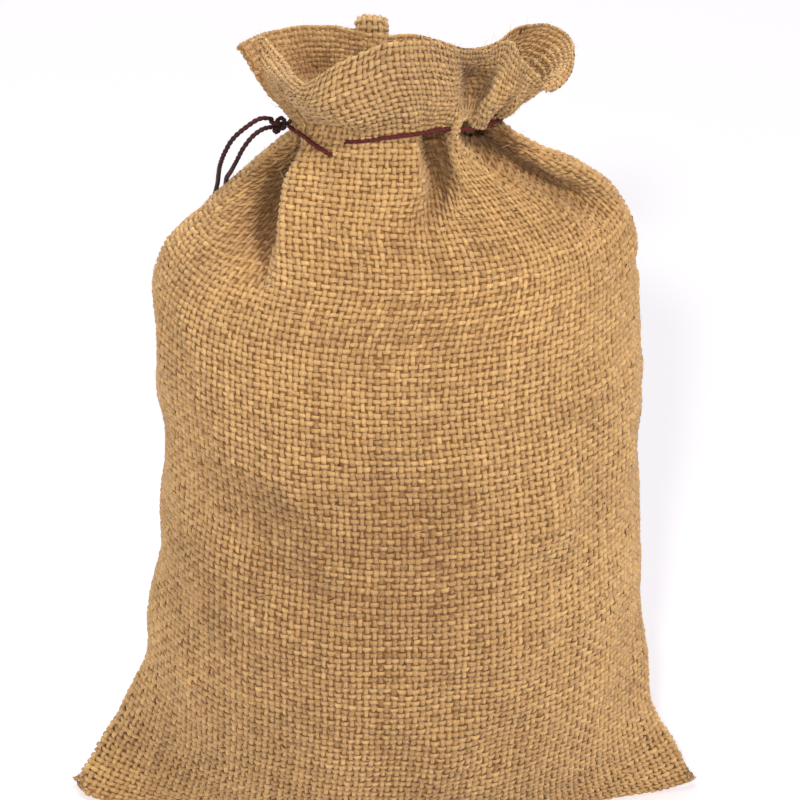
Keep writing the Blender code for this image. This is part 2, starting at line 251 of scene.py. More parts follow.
backRim = np.array([
    (-44.2, 8, 255.3, -0.75, 0.25, 0.55, -0.5, 0.2, 0.55),
    (-40.2, 14, 255.3, -0.8, 0.5, 0.55, -0.5, 0.3, 0.5),
    (-36.4, 17, 255.6, -0.7, 0.7, 0.55, -0.4, 0.5, 0.55),
    (-31.2, 18, 256.5, -0.6, 0.7, 0.6, -0.3, 0.5, 0.6),
    (-26.1, 18, 257.8, -0.5, 0.7, 0.6, -0.2, 0.4, 0.7),
    (-20, 18, 258.1, -0.3, 0.7, 0.6, -0.1, 0.4, 0.7),
    (-14.6, 17, 258.4, -0.2, 0.6, 0.65, 0, 0.4, 0.7),
    (-10.1, 16, 258, 0, 0.5, 0.7, 0, 0.3, 0.75),
    (-4, 15, 257.1, 0, 0.4, 0.75, 0, 0.3, 0.75),
    (1.1, 14, 256.6, 0, 0.4, 0.75, 0, 0.3, 0.75),
    (9.5, 13, 257.3, 0, 0.35, 0.75, 0, 0.3, 0.75),
    (17, 12, 255.8, 0, 0.35, 0.75, 0, 0.3, 0.7),
    (24.5, 10, 254.1, 0.1, 0.35, 0.7, 0, 0.25, 0.7),
    (30.5, 9, 255.2, 0.2, 0.35, 0.7, 0.1, 0.2, 0.7),
    (34.7, 9, 257.1, 0.3, 0.35, 0.7, 0.1, 0.2, 0.8),
    (38, 10, 259.6, 0.4, 0.35, 0.7, 0.2, 0.2, 0.8),
    (42.5, 10, 261.8, 0.5, 0.35, 0.7, 0.3, 0.15, 0.7),
    (47, 9, 262.5, 0.65, 0.3, 0.7, 0.35, 0.1, 0.6),
    (50.8, 6, 263.2, 0.8, 0.2, 0.65, 0.4, 0, 0.5),
    (54.5, 2, 262.8, 0.9, 0.1, 0.6, 0.4, -0.1, 0.35),
    (56.8, -3, 261.1, 1.0, 0, 0.5, 0.3, -0.2, 0.15),
    (57.1, -8, 258.8, 1.0, -0.1, 0.4, 0.2, -0.3, -0.1),
    (55.7, -13, 255.2, 0.95, -0.25, 0.35, 0.1, -0.4, -0.3),
    (52.1, -16, 252, 0.9, -0.4, 0.3, 0.1, -0.4, -0.3),
    (48, -16, 250, 0.8, -0.5, 0.3, 0.3, -0.3, -0.1),
])

# Folds. Each is a trough between a left wall and a right wall, or a ridge where depth is below 0.
# panel is 1 for the front and -1 for the back. A fold starts at the cloth height low, is whole from
# full to last, and is gone at high. leftLow and leftHigh say where its left wall stands at low and at
# high, as shares of the panel's outline, and leftSoft how gently that wall goes down.
foldColumns = "panel low full last high leftLow leftHigh leftSoft rightLow rightHigh rightSoft depth".split()
folds = np.array([
    # the hollow at the left shoulder, and the ridge on its right
    (1, 214, 234, 264, 277, 0.20, -0.08, 0.034, 0.24, 0.042, 0.010, 16.5),
    (1, 216, 236, 262, 282, 0.235, 0.042, 0.012, 0.31, 0.11, 0.035, -2.0),
    # the recess right of the middle, and the pinch that hides the drawstring above it
    (1, 238, 256, 271, 276.5, 0.494, 0.636, 0.011, 0.533, 0.752, 0.014, 10.0),
    (1, 266, 273, 280, 286, 0.735, 0.735, 0.010, 0.775, 0.775, 0.012, -2.8),
    # the crease at the right shoulder
    (1, 222, 246, 262, 275, 0.95, 0.785, 0.032, 1.0, 0.90, 0.014, 11.0),
    # the pocket at the right, under the drawstring
    (1, 257, 268, 275.5, 278, 0.79, 0.80, 0.018, 0.972, 0.972, 0.012, 10.0),
    # the soft pleat above the drawstring
    (1, 280, 287, 292, 313, 0.762, 0.688, 0.012, 0.845, 0.768, 0.018, 9.0),
    # pleats at the back
    (-1, 205, 242, 276, 292, 0.13, 0.15, 0.03, 0.19, 0.21, 0.02, 5.0),
    (-1, 222, 250, 276, 298, 0.29, 0.30, 0.02, 0.34, 0.345, 0.02, 3.5),
    (-1, 214, 245, 276, 290, 0.44, 0.43, 0.02, 0.50, 0.49, 0.03, 4.5),
    (-1, 222, 250, 276, 296, 0.61, 0.60, 0.02, 0.66, 0.645, 0.02, 3.5),
    (-1, 207, 242, 276, 290, 0.77, 0.75, 0.03, 0.83, 0.81, 0.02, 5.0),
])

# Where chosen warps of the front lie along its outline, from the left seam to the right one, at some
# heights on the cloth. The first two rows are the cloth sewn flat. Two warps that come close have
# cloth gathered between them.
chosenWarps = np.array([0, 0.06, 0.297, 0.40, 0.50, 0.67, 0.72, 0.80, 1])
warpHeights = np.array([0, 180, 205, 225, 245, 262, 272, 277, 282, 288, 300, 312])
warpPlaces = np.array([
    chosenWarps,
    chosenWarps,
    (0, 0.053, 0.281, 0.392, 0.5, 0.683, 0.737, 0.823, 1),
    (0, 0.060, 0.252, 0.390, 0.516, 0.722, 0.772, 0.845, 1),
    (0, 0.065, 0.170, 0.340, 0.49, 0.70, 0.76, 0.84, 1),
    (0, 0.065, 0.11, 0.335, 0.56, 0.68, 0.74, 0.82, 1),
    (0, 0.035, 0.07, 0.335, 0.59, 0.73, 0.77, 0.82, 1),
    (0, 0.030, 0.075, 0.33, 0.585, 0.735, 0.77, 0.82, 1),
    (0, 0.045, 0.135, 0.36, 0.575, 0.76, 0.80, 0.84, 1),
    (0, 0.05, 0.175, 0.37, 0.565, 0.755, 0.79, 0.84, 1),
    (0, 0.05, 0.24, 0.39, 0.545, 0.72, 0.76, 0.825, 1),
    (0, 0.06, 0.295, 0.42, 0.545, 0.70, 0.735, 0.80, 1),
])

# how far the bottom seam is pulled towards the front, along the sack
bottomPull = np.array(
    [(-101, 0), (-96, 11), (-88, 14), (60, 13), (82.6, 8.4), (92, 6), (98.6, 3.7), (101, 0)]
)

sack = {
    "width": 204.0,  # from side seam to side seam, sewn flat
    "height": 312.0,  # from the bottom seam to the rim
    "neck": 277.0,  # height of the drawstring along the cloth
    "warps": 184,  # yarns that run up the sack, round both panels
    "wefts": 138,  # yarns that run round it
    "inset": 0.5,  # how far the middle of the cloth lies inside the frame's surface
    "pullHeight": 33.0,  # the pull at the bottom ends at this height
    "lumps": 0.75,  # how uneven the filled cloth is
    "lumpLayers": ((1, 16, 24), (0.35, 40, 60)),  # strength, then bumps up and round the sack
    "lumpStart": 20.0,  # height where the lumps are whole
    "foldMargin": 0.04,  # folds die out over this share of a panel beside each seam
    "finest": 4,  # places on the grid for each yarn
    "probe": 0.004,  # directions are measured over this share of a panel to each side
    "outlineSteps": 400,
    "pathSteps": 500,
    "evenAcross": 4,  # reach of the averages that soften how the cloth is shared out
    "evenUp": 9,
    "normalPasses": 9,
}
pleats = {
    "depth": 0.9,  # of the small pleats that run up through the neck
    "layers": ((1, 1, 74), (0.6, 1, 34)),  # strength, then how many up and round the sack
    "start": 214.0,  # height on the cloth
    "rise": 56.0,  # they are whole this much higher
    "pastRim": 4.0,  # they would end this far past the rim
    "fall": 30.0,
    "flatCloth": 1.02,  # none where places are this wide against the flat cloth's
    "crowded": 0.5,  # whole where they are narrower than that by this much
}
# rows near the rim, counted in wefts from it
rimRows = {
    "slack": ((2.6, 1), (6.4, 0.7)),  # the place and strength of two slack rows
    "slackSpread": 0.3,
    "looser": 0.35,
    "tighter": 0.2,  # at the rim itself
    "tightReach": 1.2,
}


def named(columns, rows):
    return [dict(zip(columns, row)) for row in rows]


def foldStrength(fold, cloth):
    rise = ease((cloth - fold["low"]) / (fold["full"] - fold["low"]))
    fall = ease((fold["high"] - cloth) / (fold["high"] - fold["last"]))
    return rise * fall


def wallPlace(fold, wall, cloth):
    share = (cloth - fold["low"]) / (fold["high"] - fold["low"])
    low, high = fold[wall + "Low"], fold[wall + "High"]
    return low + (high - low) * np.clip(share, 0, 1)


def foldsOf(panel):
    return [fold for fold in named(foldColumns, folds) if fold["panel"] == panel]


def foldDepth(panel, cloth, along):
    depth = np.zeros_like(along)
    for fold in foldsOf(panel):
        left = np.tanh((along - wallPlace(fold, "left", cloth)) / fold["leftSoft"])
        right = np.tanh((along - wallPlace(fold, "right", cloth)) / fold["rightSoft"])
        depth += fold["depth"] * foldStrength(fold, cloth) * 0.5 * (left - right)
    margin = sack["foldMargin"]
    return depth * ease(along / margin) * ease((1 - along) / margin)


def rowAt(cloth):
    values = smooth(clothRows[:, 0], clothRows, np.array([cloth]))[0]
    return dict(zip(rowColumns, values))


def bodyOutline(panel, row, along):
    # one row of cloth below the drawstring, before it is folded
    side = "front" if panel > 0 else "back"
    reach, middleZ = row[side], row[side + "Z"]
    angle = np.linspace(0, math.pi, sack["outlineSteps"])
    half = (row["right"] - row["left"]) / 2
    centre = (row["right"] + row["left"]) / 2
    bulge = np.sin(angle) ** (2 * row["point"])
    length = travelled(np.stack([half * np.cos(angle), bulge * reach], axis=1))
    at = np.interp(along * length[-1], length, angle)
    bulge = np.sin(at) ** (2 * row["point"])
    x = centre - half * np.cos(at)
    sideZ = row["leftZ"] + (row["rightZ"] - row["leftZ"]) * (x - row["left"]) / (2 * half)
    return np.stack([x, -panel * reach * bulge, sideZ + (middleZ - sideZ) * bulge], axis=1)


def mouthOutline(panel, cloth, along):
    # one row of cloth between the drawstring and the rim
    rise = sack["height"] - sack["neck"]
    t = ((cloth - sack["neck"]) / rise) * np.ones((len(along), 1))
    neck = bodyOutline(panel, rowAt(sack["neck"]), along)
    table = frontRim if panel > 0 else backRim
    length = travelled(table[:, :3])
    rim = smooth(length / length[-1], table, along)
    return (
        (2 * t**3 - 3 * t**2 + 1) * neck
        + (t**3 - 2 * t**2 + t) * rise * rim[:, 3:6]
        + (3 * t**2 - 2 * t**3) * rim[:, :3]
        + (t**3 - t**2) * rise * rim[:, 6:]
    )


def outline(panel, cloth, along):
    if cloth <= sack["neck"]:
        return bodyOutline(panel, rowAt(cloth), along)
    return mouthOutline(panel, cloth, along)


def evened(values, reach, axis):
    # a running average that leaves both ends where they are
    ends = [(0, 0), (0, 0)]
    ends[axis] = (reach, reach)
    wide = np.pad(values, ends, mode="reflect", reflect_type="odd")
    total = np.cumsum(wide, axis=axis)
    first = np.take(total, [0], axis=axis) * 0
    total = np.concatenate([first, total], axis=axis)
    count = values.shape[axis]
    over = np.take(total, np.arange(2 * reach + 1, 2 * reach + 1 + count), axis=axis)
    return (over - np.take(total, np.arange(count), axis=axis)) / (2 * reach + 1)


def clothPlaces(heights, share):
    # Where each place across the front's cloth lies along its outline, at every height. Between the
    # chosen warps the cloth is spread evenly along the walls of its folds.
    chosen = np.array([np.interp(heights, warpHeights, column) for column in warpPlaces.T]).T
    along = np.linspace(0, 1, sack["pathSteps"])
    places = []
    for height, row in zip(heights, chosen):
        level = np.diff(travelled(outline(1, height, along)))
        steps = np.hypot(level, np.diff(foldDepth(1, height, along)))
        path = np.concatenate([[0], np.cumsum(steps)])
        wanted = np.interp(share, chosenWarps, np.interp(row, along, path))
        places.append(np.interp(wanted, path, along))
    places = evened(np.array(places), sack["evenAcross"], 1)
    for _ in range(2):
        places = evened(places, sack["evenUp"], 0)
    return np.clip(places, 0, 1)


def clothHeights(rows):
    # even rows of cloth, but for two slack ones under the rim and tighter ones at it
    fromRim = sack["wefts"] - np.linspace(0, sack["wefts"], rows)
    slack = sum(
        strength * np.exp(-((fromRim - place) ** 2) / rimRows["slackSpread"])
        for place, strength in rimRows["slack"]
    )
    tight = np.exp(-((fromRim / rimRows["tightReach"]) ** 2))
    step = 1 + rimRows["looser"] * slack - rimRows["tighter"] * tight
    height = np.concatenate([[0], np.cumsum((step[1:] + step[:-1]) / 2)])
    return height / height[-1] * sack["height"]


def clothRing(cloth, places):
    # the front from the left seam to the right one, then the back from right to left, and how deep
    # each place lies in a fold
    halves = []
    for panel, along in zip((1, -1), places):
        points = outline(panel, cloth, along)
        ahead = outline(panel, cloth, np.clip(along + sack["probe"], 0, 1))
        behind = outline(panel, cloth, np.clip(along - sack["probe"], 0, 1))
        run = ahead - behind
        outward = panel * np.stack([run[:, 1], -run[:, 0], 0 * along], axis=1)
        depth = foldDepth(panel, cloth, along)[:, None]
        halves.append(np.concatenate([points - unit(outward) * depth, depth], axis=1))
    front, back = halves
    ring = np.concatenate([front[:-1], back[:0:-1]])
    pull = np.clip(1 - cloth / sack["pullHeight"], 0, 1) ** 2
    ring[:, 1] -= pull * np.interp(ring[:, 0], bottomPull[:, 0], bottomPull[:, 1])
    return ring


def acrossGrid(grid):
    # the step from each place on the cloth to the next one round it
    return (np.roll(grid, -1, axis=1) - np.roll(grid, 1, axis=1)) / 2


def outwardNormals(grid):
    normals = unit(np.cross(acrossGrid(grid), np.gradient(grid, axis=0)))
    for _ in range(sack["normalPasses"]):
        normals = normals + np.roll(normals, 1, axis=1) + np.roll(normals, -1, axis=1)
        normals[1:-1] = 2 * normals[1:-1] + normals[2:] + normals[:-2]
        normals = unit(normals)
    return normals


def clothGrid():
    # the middle of the cloth, at every quarter of a yarn, with its outward normals and fold depths
    fine = sack["finest"]
    rows = sack["wefts"] * fine + 1
    heights = clothHeights(rows)
    share = np.linspace(0, 1, sack["warps"] * fine // 2 + 1)
    front = clothPlaces(heights, share)
    rings = np.array([clothRing(height, (row, share)) for height, row in zip(heights, front)])
    grid, depths = rings[:, :, :3], rings[:, :, 3]
    columns = grid.shape[1]
    normals = outwardNormals(grid)
    lumps = layeredNoise(rows, columns, sack["lumpLayers"])
    fade = ease(heights / sack["lumpStart"])[:, None]
    grid = grid + normals * (sack["lumps"] * lumps * fade - sack["inset"])[:, :, None]
    # the small pleats, where the cloth is crowded
    crowd = np.linalg.norm(np.roll(grid, -1, axis=1) - grid, axis=2) * columns / (2 * sack["width"])
    ripple = layeredNoise(2, columns, pleats["layers"])[:1]
    rise = ease((heights - pleats["start"]) / pleats["rise"])
    near = rise * ease((sack["height"] + pleats["pastRim"] - heights) / pleats["fall"])
    deep = pleats["depth"] * near[:, None] * ease((pleats["flatCloth"] - crowd) / pleats["crowded"])
    grid = grid + normals * (deep * ripple)[:, :, None]
    return grid * mm, outwardNormals(grid), depths


# yarns

yarn = {
    "halfWidth": 0.72,  # millimetres
    "halfHeight": 0.50,
    "wave": 0.45,  # how far a yarn rises over the ones it crosses
    "crowding": 0.41,  # half width against the distance to the next yarn, where the cloth is gathered
    "widthNoise": 0.13,
    "heightNoise": 0.1,
    "waveNoise": 0.2,
    "slubs": 0.32,  # how much thicker the thick places are
    "slubStart": 1.3,  # noise above this makes a thick place
    "wander": 0.17,  # how far yarns stray sideways
    "kinks": 0.6,  # its short bends against its long ones
    "roomy": 0.85,  # closer than this share of the flat cloth's distance, yarns rise less
    "stillest": 0.15,  # the least of the rise that is left
    "lowest": 0.82,  # the middle of the cloth stays this far above the floor, in millimetres
    "tint": 0.53,
    "tintSpread": 0.09,
    "tintLayers": (0.6, 0.5, 1.0),  # from yarn to yarn, in long stretches, and in short ones
    "shortStretches": 6,  # short stretches in a long one
    "crownLightAndShade": 0.09,  # painted highlight: how much lighter a yarn is where it lies on top, and painted shade as much darker where it dips under
}
# how many random values lie along a yarn, for each thing that changes along it
warpCells = {"width": 90, "slubs": 30, "height": 70, "bends": 40, "kinks": 120, "wave": 160, "tint": 24}
weftCells = {"width": 120, "slubs": 40, "height": 90, "bends": 50, "kinks": 160, "wave": 200, "tint": 34}
tone = {
    "layers": ((0.05, 9, 14), (0.035, 30, 44)),  # strength, then patches up and round the sack
    "foldShade": 0.027,  # painted shade: how much darker the cloth is for each millimetre of a fold's depth
    "inside": 0.12,  # strength of the painted shade and light on the back panel's inside, above the drawstring
    "insideStart": 0.88,  # share of the height
    "insideFade": 0.04,
    "insideLighter": 1.1,  # times the strength, as painted light at the right
    "insideTurn": 1.4,  # how much of that is taken back further left, which leaves painted shade there
    "turnPlace": 1.25,  # across the cloth, counted as in the list of painted shade and light
    "turnReach": 0.15,
}
# Painted shade and light: share of the height, place across the cloth, reach up, reach across, how much
# darker, where below 0 is painted light. Across goes from 0 to 1 on the front, from the left seam to the
# right one, and on to 2 on the back.
paintedShadeAndLight = [
    (0.46, 0.50, 0.19, 0.20, 0.19),
    (0.79, 0.13, 0.05, 0.05, 0.13),
    (0.868, 0.93, 0.02, 0.10, 0.60),
    (0.835, 0.92, 0.03, 0.06, 0.25),
    (0.845, 0.60, 0.03, 0.05, 0.15),
    (0.95, 0.70, 0.032, 0.045, 0.30),
    (0.945, 1.83, 0.02, 0.06, 0.22),
    (0.96, 1.13, 0.06, 0.13, -0.15),
]
outerProfile = np.radians([-25, 35, 90, 145, 205])
wholeProfile = np.radians([0, 72, 144, 216, 288])
ribbonProfile = np.radians([0, 180])


def tubes(
    name, centres, sideways, outward, halfWidth, halfHeight, profile, material, tint,
    whole=False, slot="hessian",
):
    # many yarns as one mesh. centres is yarns x samples x 3
    yarns, samples = centres.shape[:2]
    sides = len(profile)
    ring = (
        centres[:, :, None]
        + sideways[:, :, None] * (halfWidth[:, :, None] * np.cos(profile))[..., None]
        + outward[:, :, None] * (halfHeight[:, :, None] * np.sin(profile))[..., None]
    )
    spans = sides if whole else sides - 1
    yarnIndex = np.arange(yarns)[:, None, None] * samples * sides
    sampleIndex = np.arange(samples - 1)[None, :, None] * sides
    near = np.arange(spans)[None, None]
    after = (near + 1) % sides
    corner = yarnIndex + sampleIndex
    quads = np.stack([corner + near, corner + near + sides, corner + after + sides, corner + after], axis=-1)
    quads = quads.reshape(-1, 4)
    mesh = bpy.data.meshes.new(name)
    mesh.vertices.add(ring.size // 3)
    mesh.vertices.foreach_set("co", ring.astype(np.float32).ravel())
    mesh.loops.add(quads.size)
    mesh.loops.foreach_set("vertex_index", quads.astype(np.int32).ravel())
    mesh.polygons.add(len(quads))
    mesh.polygons.foreach_set("loop_start", np.arange(0, quads.size, 4, dtype=np.int32))
    mesh.update(calc_edges=True)
    # one strip of the map for each yarn
    alongMap = np.broadcast_to(np.linspace(0, 1, samples)[None, :, None], (yarns, samples, sides + 1))
    share = 0.1 + 0.8 * np.arange(sides + 1) / spans
    aroundMap = (np.arange(yarns)[:, None, None] + share[None, None]) / yarns
    aroundMap = np.broadcast_to(aroundMap, (yarns, samples, sides + 1))
    places = np.stack([alongMap, aroundMap], axis=-1)
    strips = np.stack(
        [
            places[:, :-1, :spans],
            places[:, 1:, :spans],
            places[:, 1:, 1 : spans + 1],
            places[:, :-1, 1 : spans + 1],
        ],
        axis=3,
    )
    layer = mesh.uv_layers.new(name="OFBake")
    layer.data.foreach_set("uv", strips.astype(np.float32).ravel())
    shade = mesh.attributes.new("tint", "FLOAT", "POINT")
    shade.data.foreach_set("value", np.repeat(tint, sides, axis=1).astype(np.float32).ravel())
    mesh.shade_smooth()
    mesh.materials.append(material)
    return addPiece(name, mesh)


def addPiece(name, data):
    piece = bpy.data.objects.new(name, data)
    bpy.context.scene.collection.objects.link(piece)
    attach(piece, "root")
    return piece


def clothToneAndShade(depths):
    # how much lighter or darker each place of the cloth is than its yarns' own tint: random tone, with
    # painted shade in the folds, and painted shade and light in listed patches and inside the mouth
    shading = layeredNoise(*depths.shape, tone["layers"])
    # painted shade in the folds, darker the deeper they go
    shading -= tone["foldShade"] * depths
    levels, turns = np.linspace(0, 1, len(depths)), np.linspace(0, 2, depths.shape[1])
    up, across = np.meshgrid(levels, turns, indexing="ij")
    # painted shade in each listed patch, and painted light where its amount is below 0
    for level, place, high, wide, amount in paintedShadeAndLight:
        shading -= amount * np.exp(-(((up - level) / high) ** 2) - ((across - place) / wide) ** 2)
    # painted light on the back panel's inside at the right of the mouth, painted shade further left
    fade = tone["insideFade"]
    inside = ease((up - tone["insideStart"]) / fade) * ease((1 - up) / fade) * (across > 1)
    turned = tone["insideTurn"] * ease((across - tone["turnPlace"]) / tone["turnReach"])
    return shading - tone["inside"] * inside * (turned - tone["insideLighter"])


def yarnTint(yarns, samples, cells):
    each, long, short = yarn["tintLayers"]
    tint = each * random.normal(size=(yarns, 1)) + long * yarnNoise(yarns, samples, cells)
    tint += short * yarnNoise(yarns, samples, cells * yarn["shortStretches"])
    return yarn["tint"] + yarn["tintSpread"] * tint


def overUnder(crossing, yarns):
    # 1 where a yarn lies over the one that it crosses, -1 where it lies under it
    return np.where((crossing[None] + np.arange(yarns)[:, None]) % 2 == 0, 1.0, -1.0)


def calmness(spacing):
    # 1 on flat cloth, and less where yarns are gathered
    flat = 2 * sack["width"] / sack["warps"] * mm
    return np.clip(spacing / (yarn["roomy"] * flat), yarn["stillest"], 1)


def yarnShape(cells, spacing, calm, freedom, sign):
    # half width, half height, stray and rise along every yarn
    size = sign.shape
    slubs = np.clip(yarnNoise(*size, cells["slubs"]) - yarn["slubStart"], 0, 1)
    thick = 1 + yarn["widthNoise"] * yarnNoise(*size, cells["width"]) + yarn["slubs"] * slubs
    width = np.minimum(yarn["halfWidth"] * mm * thick, yarn["crowding"] * spacing)
    uneven = 1 + yarn["heightNoise"] * yarnNoise(*size, cells["height"])
    height = yarn["halfHeight"] * mm * np.sqrt(freedom) * uneven
    bends = yarnNoise(*size, cells["bends"]) + yarn["kinks"] * yarnNoise(*size, cells["kinks"])
    stray = yarn["wander"] * mm * freedom * bends
    uneven = 1 + yarn["waveNoise"] * yarnNoise(*size, cells["wave"])
    return width, height, stray, yarn["wave"] * mm * calm * sign * uneven


def yarnPieces(parts, fields, tint, material, mirrored=False):
    # parts are a name, which yarns, which of their samples, and a profile
    pieces = []
    for name, chosen, samples, profile in parts:
        pick = (chosen, samples)
        shape = [field[pick] for field in fields]
        turned = profile[::-1] if mirrored else profile
        pieces.append(tubes(name, *shape, turned, material, tint[pick], whole=profile is wholeProfile))
    return pieces


def neckYarn():
    return int(round(sack["wefts"] * sack["neck"] / sack["height"]))


def warpYarns(grid, normals, shading, material):
    fine, warps, wefts = sack["finest"], sack["warps"], sack["wefts"]
    # one sample each side of every crossing
    rows = np.concatenate([[0], np.arange(1, wefts * fine, fine // 2), [wefts * fine]])
    columns = np.arange(fine // 2, warps * fine, fine)
    centre = grid[rows][:, columns].transpose(1, 0, 2)
    out = normals[rows][:, columns].transpose(1, 0, 2)
    side = acrossGrid(grid)[rows][:, columns].transpose(1, 0, 2)
    spacing = np.linalg.norm(side, axis=2) * fine
    side = unit(side)
    crossing = np.concatenate([[0], np.repeat(np.arange(wefts), 2), [wefts - 1]])
    sign = overUnder(crossing, warps)
    sign[:, 0] = sign[:, -1] = 0
    calm = calmness(spacing)
    width, height, stray, wave = yarnShape(warpCells, spacing, calm, calm, sign)
    centre = centre + out * wave[..., None] + side * stray[..., None]
    centre[..., 2] = np.maximum(centre[..., 2], yarn["lowest"] * mm)
    tint = yarnTint(*sign.shape, warpCells["tint"])
    # the cloth's tone with its painted shade and light, and the painted highlight and shade of the crossings
    tint = tint + shading[rows][:, columns].T + yarn["crownLightAndShade"] * sign
    neckSample = 1 + 2 * neckYarn()
    low, high = slice(0, neckSample + 1), slice(neckSample, len(rows))
    parts = (
        ("warp_yarns_front", slice(0, warps // 2), low, outerProfile),
        ("warp_yarns_back", slice(warps // 2, warps), low, outerProfile),
        ("warp_yarns_mouth", slice(0, warps), high, wholeProfile),
    )
    return yarnPieces(parts, (centre, side, out, width, height), tint, material)


def weftYarns(grid, normals, shading, material):
    # closed rings, seam to seam
    fine, warps, wefts = sack["finest"], sack["warps"], sack["wefts"]
    columns = np.arange(1, warps * fine, fine // 2)
    columns = np.concatenate([columns, columns[:1]])
    rows = np.arange(fine // 2, wefts * fine, fine)
    centre = grid[rows][:, columns]
    out = normals[rows][:, columns]
    side = np.gradient(grid, axis=0)[rows][:, columns]
    spacing = np.linalg.norm(side, axis=2) * fine
    side = unit(side)
    crossing = np.repeat(np.arange(warps), 2)
    crossing = np.concatenate([crossing, crossing[:1]])
    sign = -overUnder(crossing, wefts)
    gathered = np.linalg.norm(acrossGrid(grid)[rows][:, columns], axis=2) * fine
    width, height, stray, wave = yarnShape(weftCells, spacing, calmness(gathered), 1, sign)
    centre = centre + out * wave[..., None] + side * stray[..., None]
    tint = yarnTint(*sign.shape, weftCells["tint"])
    # the cloth's tone with its painted shade and light, and the painted highlight and shade of the crossings
    tint = tint + shading[rows][:, columns] + yarn["crownLightAndShade"] * sign
    for ring in (centre, width, height, tint):
        ring[:, -1] = ring[:, 0]
    centre[..., 2] = np.maximum(centre[..., 2], yarn["lowest"] * mm)
    neck = neckYarn()
    every = slice(None)
    parts = (
        ("weft_yarns_lower", slice(0, neck // 2), every, outerProfile),
        ("weft_yarns_upper", slice(neck // 2, neck), every, outerProfile),
        ("weft_yarns_mouth", slice(neck, wefts), every, wholeProfile),
    )
    # seen from outside, a yarn's profile turns the other way round when it runs across
    return yarnPieces(parts, (centre, side, out, width, height), tint, material, mirrored=True)


webCloth = {
    "depth": 0.22,  # how far the web lies inside the middle of the cloth, in millimetres
    "cornerTop": 60.0,  # below this height it keeps clear of the corners at the bottom
    "cornerFade": 30.0,
    "cornerPull": 0.014,
    # painted shade: browns darker than the jute, for the shaded inside seen through the holes
    "colors": ((0.18, 0.078, 0.025, 1), (0.44, 0.22, 0.078, 1)),
    "surface": {"Roughness": 0.95, "Specular IOR Level": 0.1},
    "grain": {"Scale": 900, "Detail": 3},
}


def clothWeb(grid, normals, material):
    # the thin web between the yarns, which closes the cloth's holes; its browns, darker than the jute, are
    # painted shade for the sack's inside seen through them
    fine = sack["finest"]
    last = grid.shape[0] - 1
    rows = np.arange(fine, last + 1 - fine, fine)
    rows = np.concatenate([[fine // 2], rows, [last - fine // 2]])
    columns = np.arange(0, grid.shape[1], fine)
    places = grid[rows][:, columns] - webCloth["depth"] * mm * normals[rows][:, columns]
    corner = ease((webCloth["cornerTop"] * mm - places[..., 2]) / (webCloth["cornerFade"] * mm))
    places[..., 0] *= 1 - webCloth["cornerPull"] * corner
    places[..., 2] = np.maximum(places[..., 2], yarn["lowest"] * mm)
    count = len(columns)
    verts = places.reshape(-1, 3)
    i = np.arange(len(rows) - 1)[:, None] * count
    j = np.arange(count)[None]
    after = (j + 1) % count
    quads = np.stack([i + j, i + after, i + count + after, i + count + j], axis=-1).reshape(-1, 4)
    mesh = bpy.data.meshes.new("sack_cloth")
    mesh.from_pydata(verts.tolist(), [], quads.tolist())
    layer = mesh.uv_layers.new(name="OFBake")
    over = np.broadcast_to(j / count, (len(rows) - 1, count))
    rise = np.broadcast_to(np.arange(len(rows) - 1)[:, None] / len(rows), over.shape)
    corners = [(over, rise), (over + 1 / count, rise)]
    corners += [(over + 1 / count, rise + 1 / len(rows)), (over, rise + 1 / len(rows))]
    places = np.stack([np.stack(corner, axis=-1) for corner in corners], axis=2)
    layer.data.foreach_set("uv", places.astype(np.float32).ravel())
    mesh.shade_smooth()
    mesh.materials.append(material)
    return addPiece("sack_cloth", mesh)


# loose fibres that stand off the cloth, and the dark bits of bark in it

fuzz = {
    "count": 7500,
    "rimCount": 900,
    "length": (1.2, 4.2),  # millimetres
    "halfWidth": 0.055,
    "lift": (0.2, 0.8),  # how far the tips stand off
    "root": 0.5,  # how far outside the middle of the cloth they start
    "rimRoot": 0.3,
    "lowestPart": 30,  # the lowest start a 30th of the way up
    "rimShare": 0.965,  # those at the rim start at this share of the way up
    "taper": (1, 1, 0.9, 0.7, 0.3),
    "thickness": (0.7, 1.3),
    "tint": (0.45, 0.95),
    "insideShare": 0.45,  # of those above the drawstring, how many are inside the mouth
    "bend": 0.35,  # sideways, against the length
    "curl": (1.2, 2.8),
    "lowest": 0.2,  # millimetres above the floor
    "mapLength": 5,
    "mapYarns": 8000,
}
barkBits = {
    "count": 170,
    "length": (0.8, 2.6),
    "halfWidth": 0.16,
    "thinness": 0.6,
    "lift": (0.05, 0.15),
    "root": 0.62,
    "lowestPart": 12,
    "taper": (0.4, 1, 1.2, 1, 0.4),
    "thickness": (0.6, 1.4),
    "tint": (0, 0.5),
    "mapLength": 3,
}


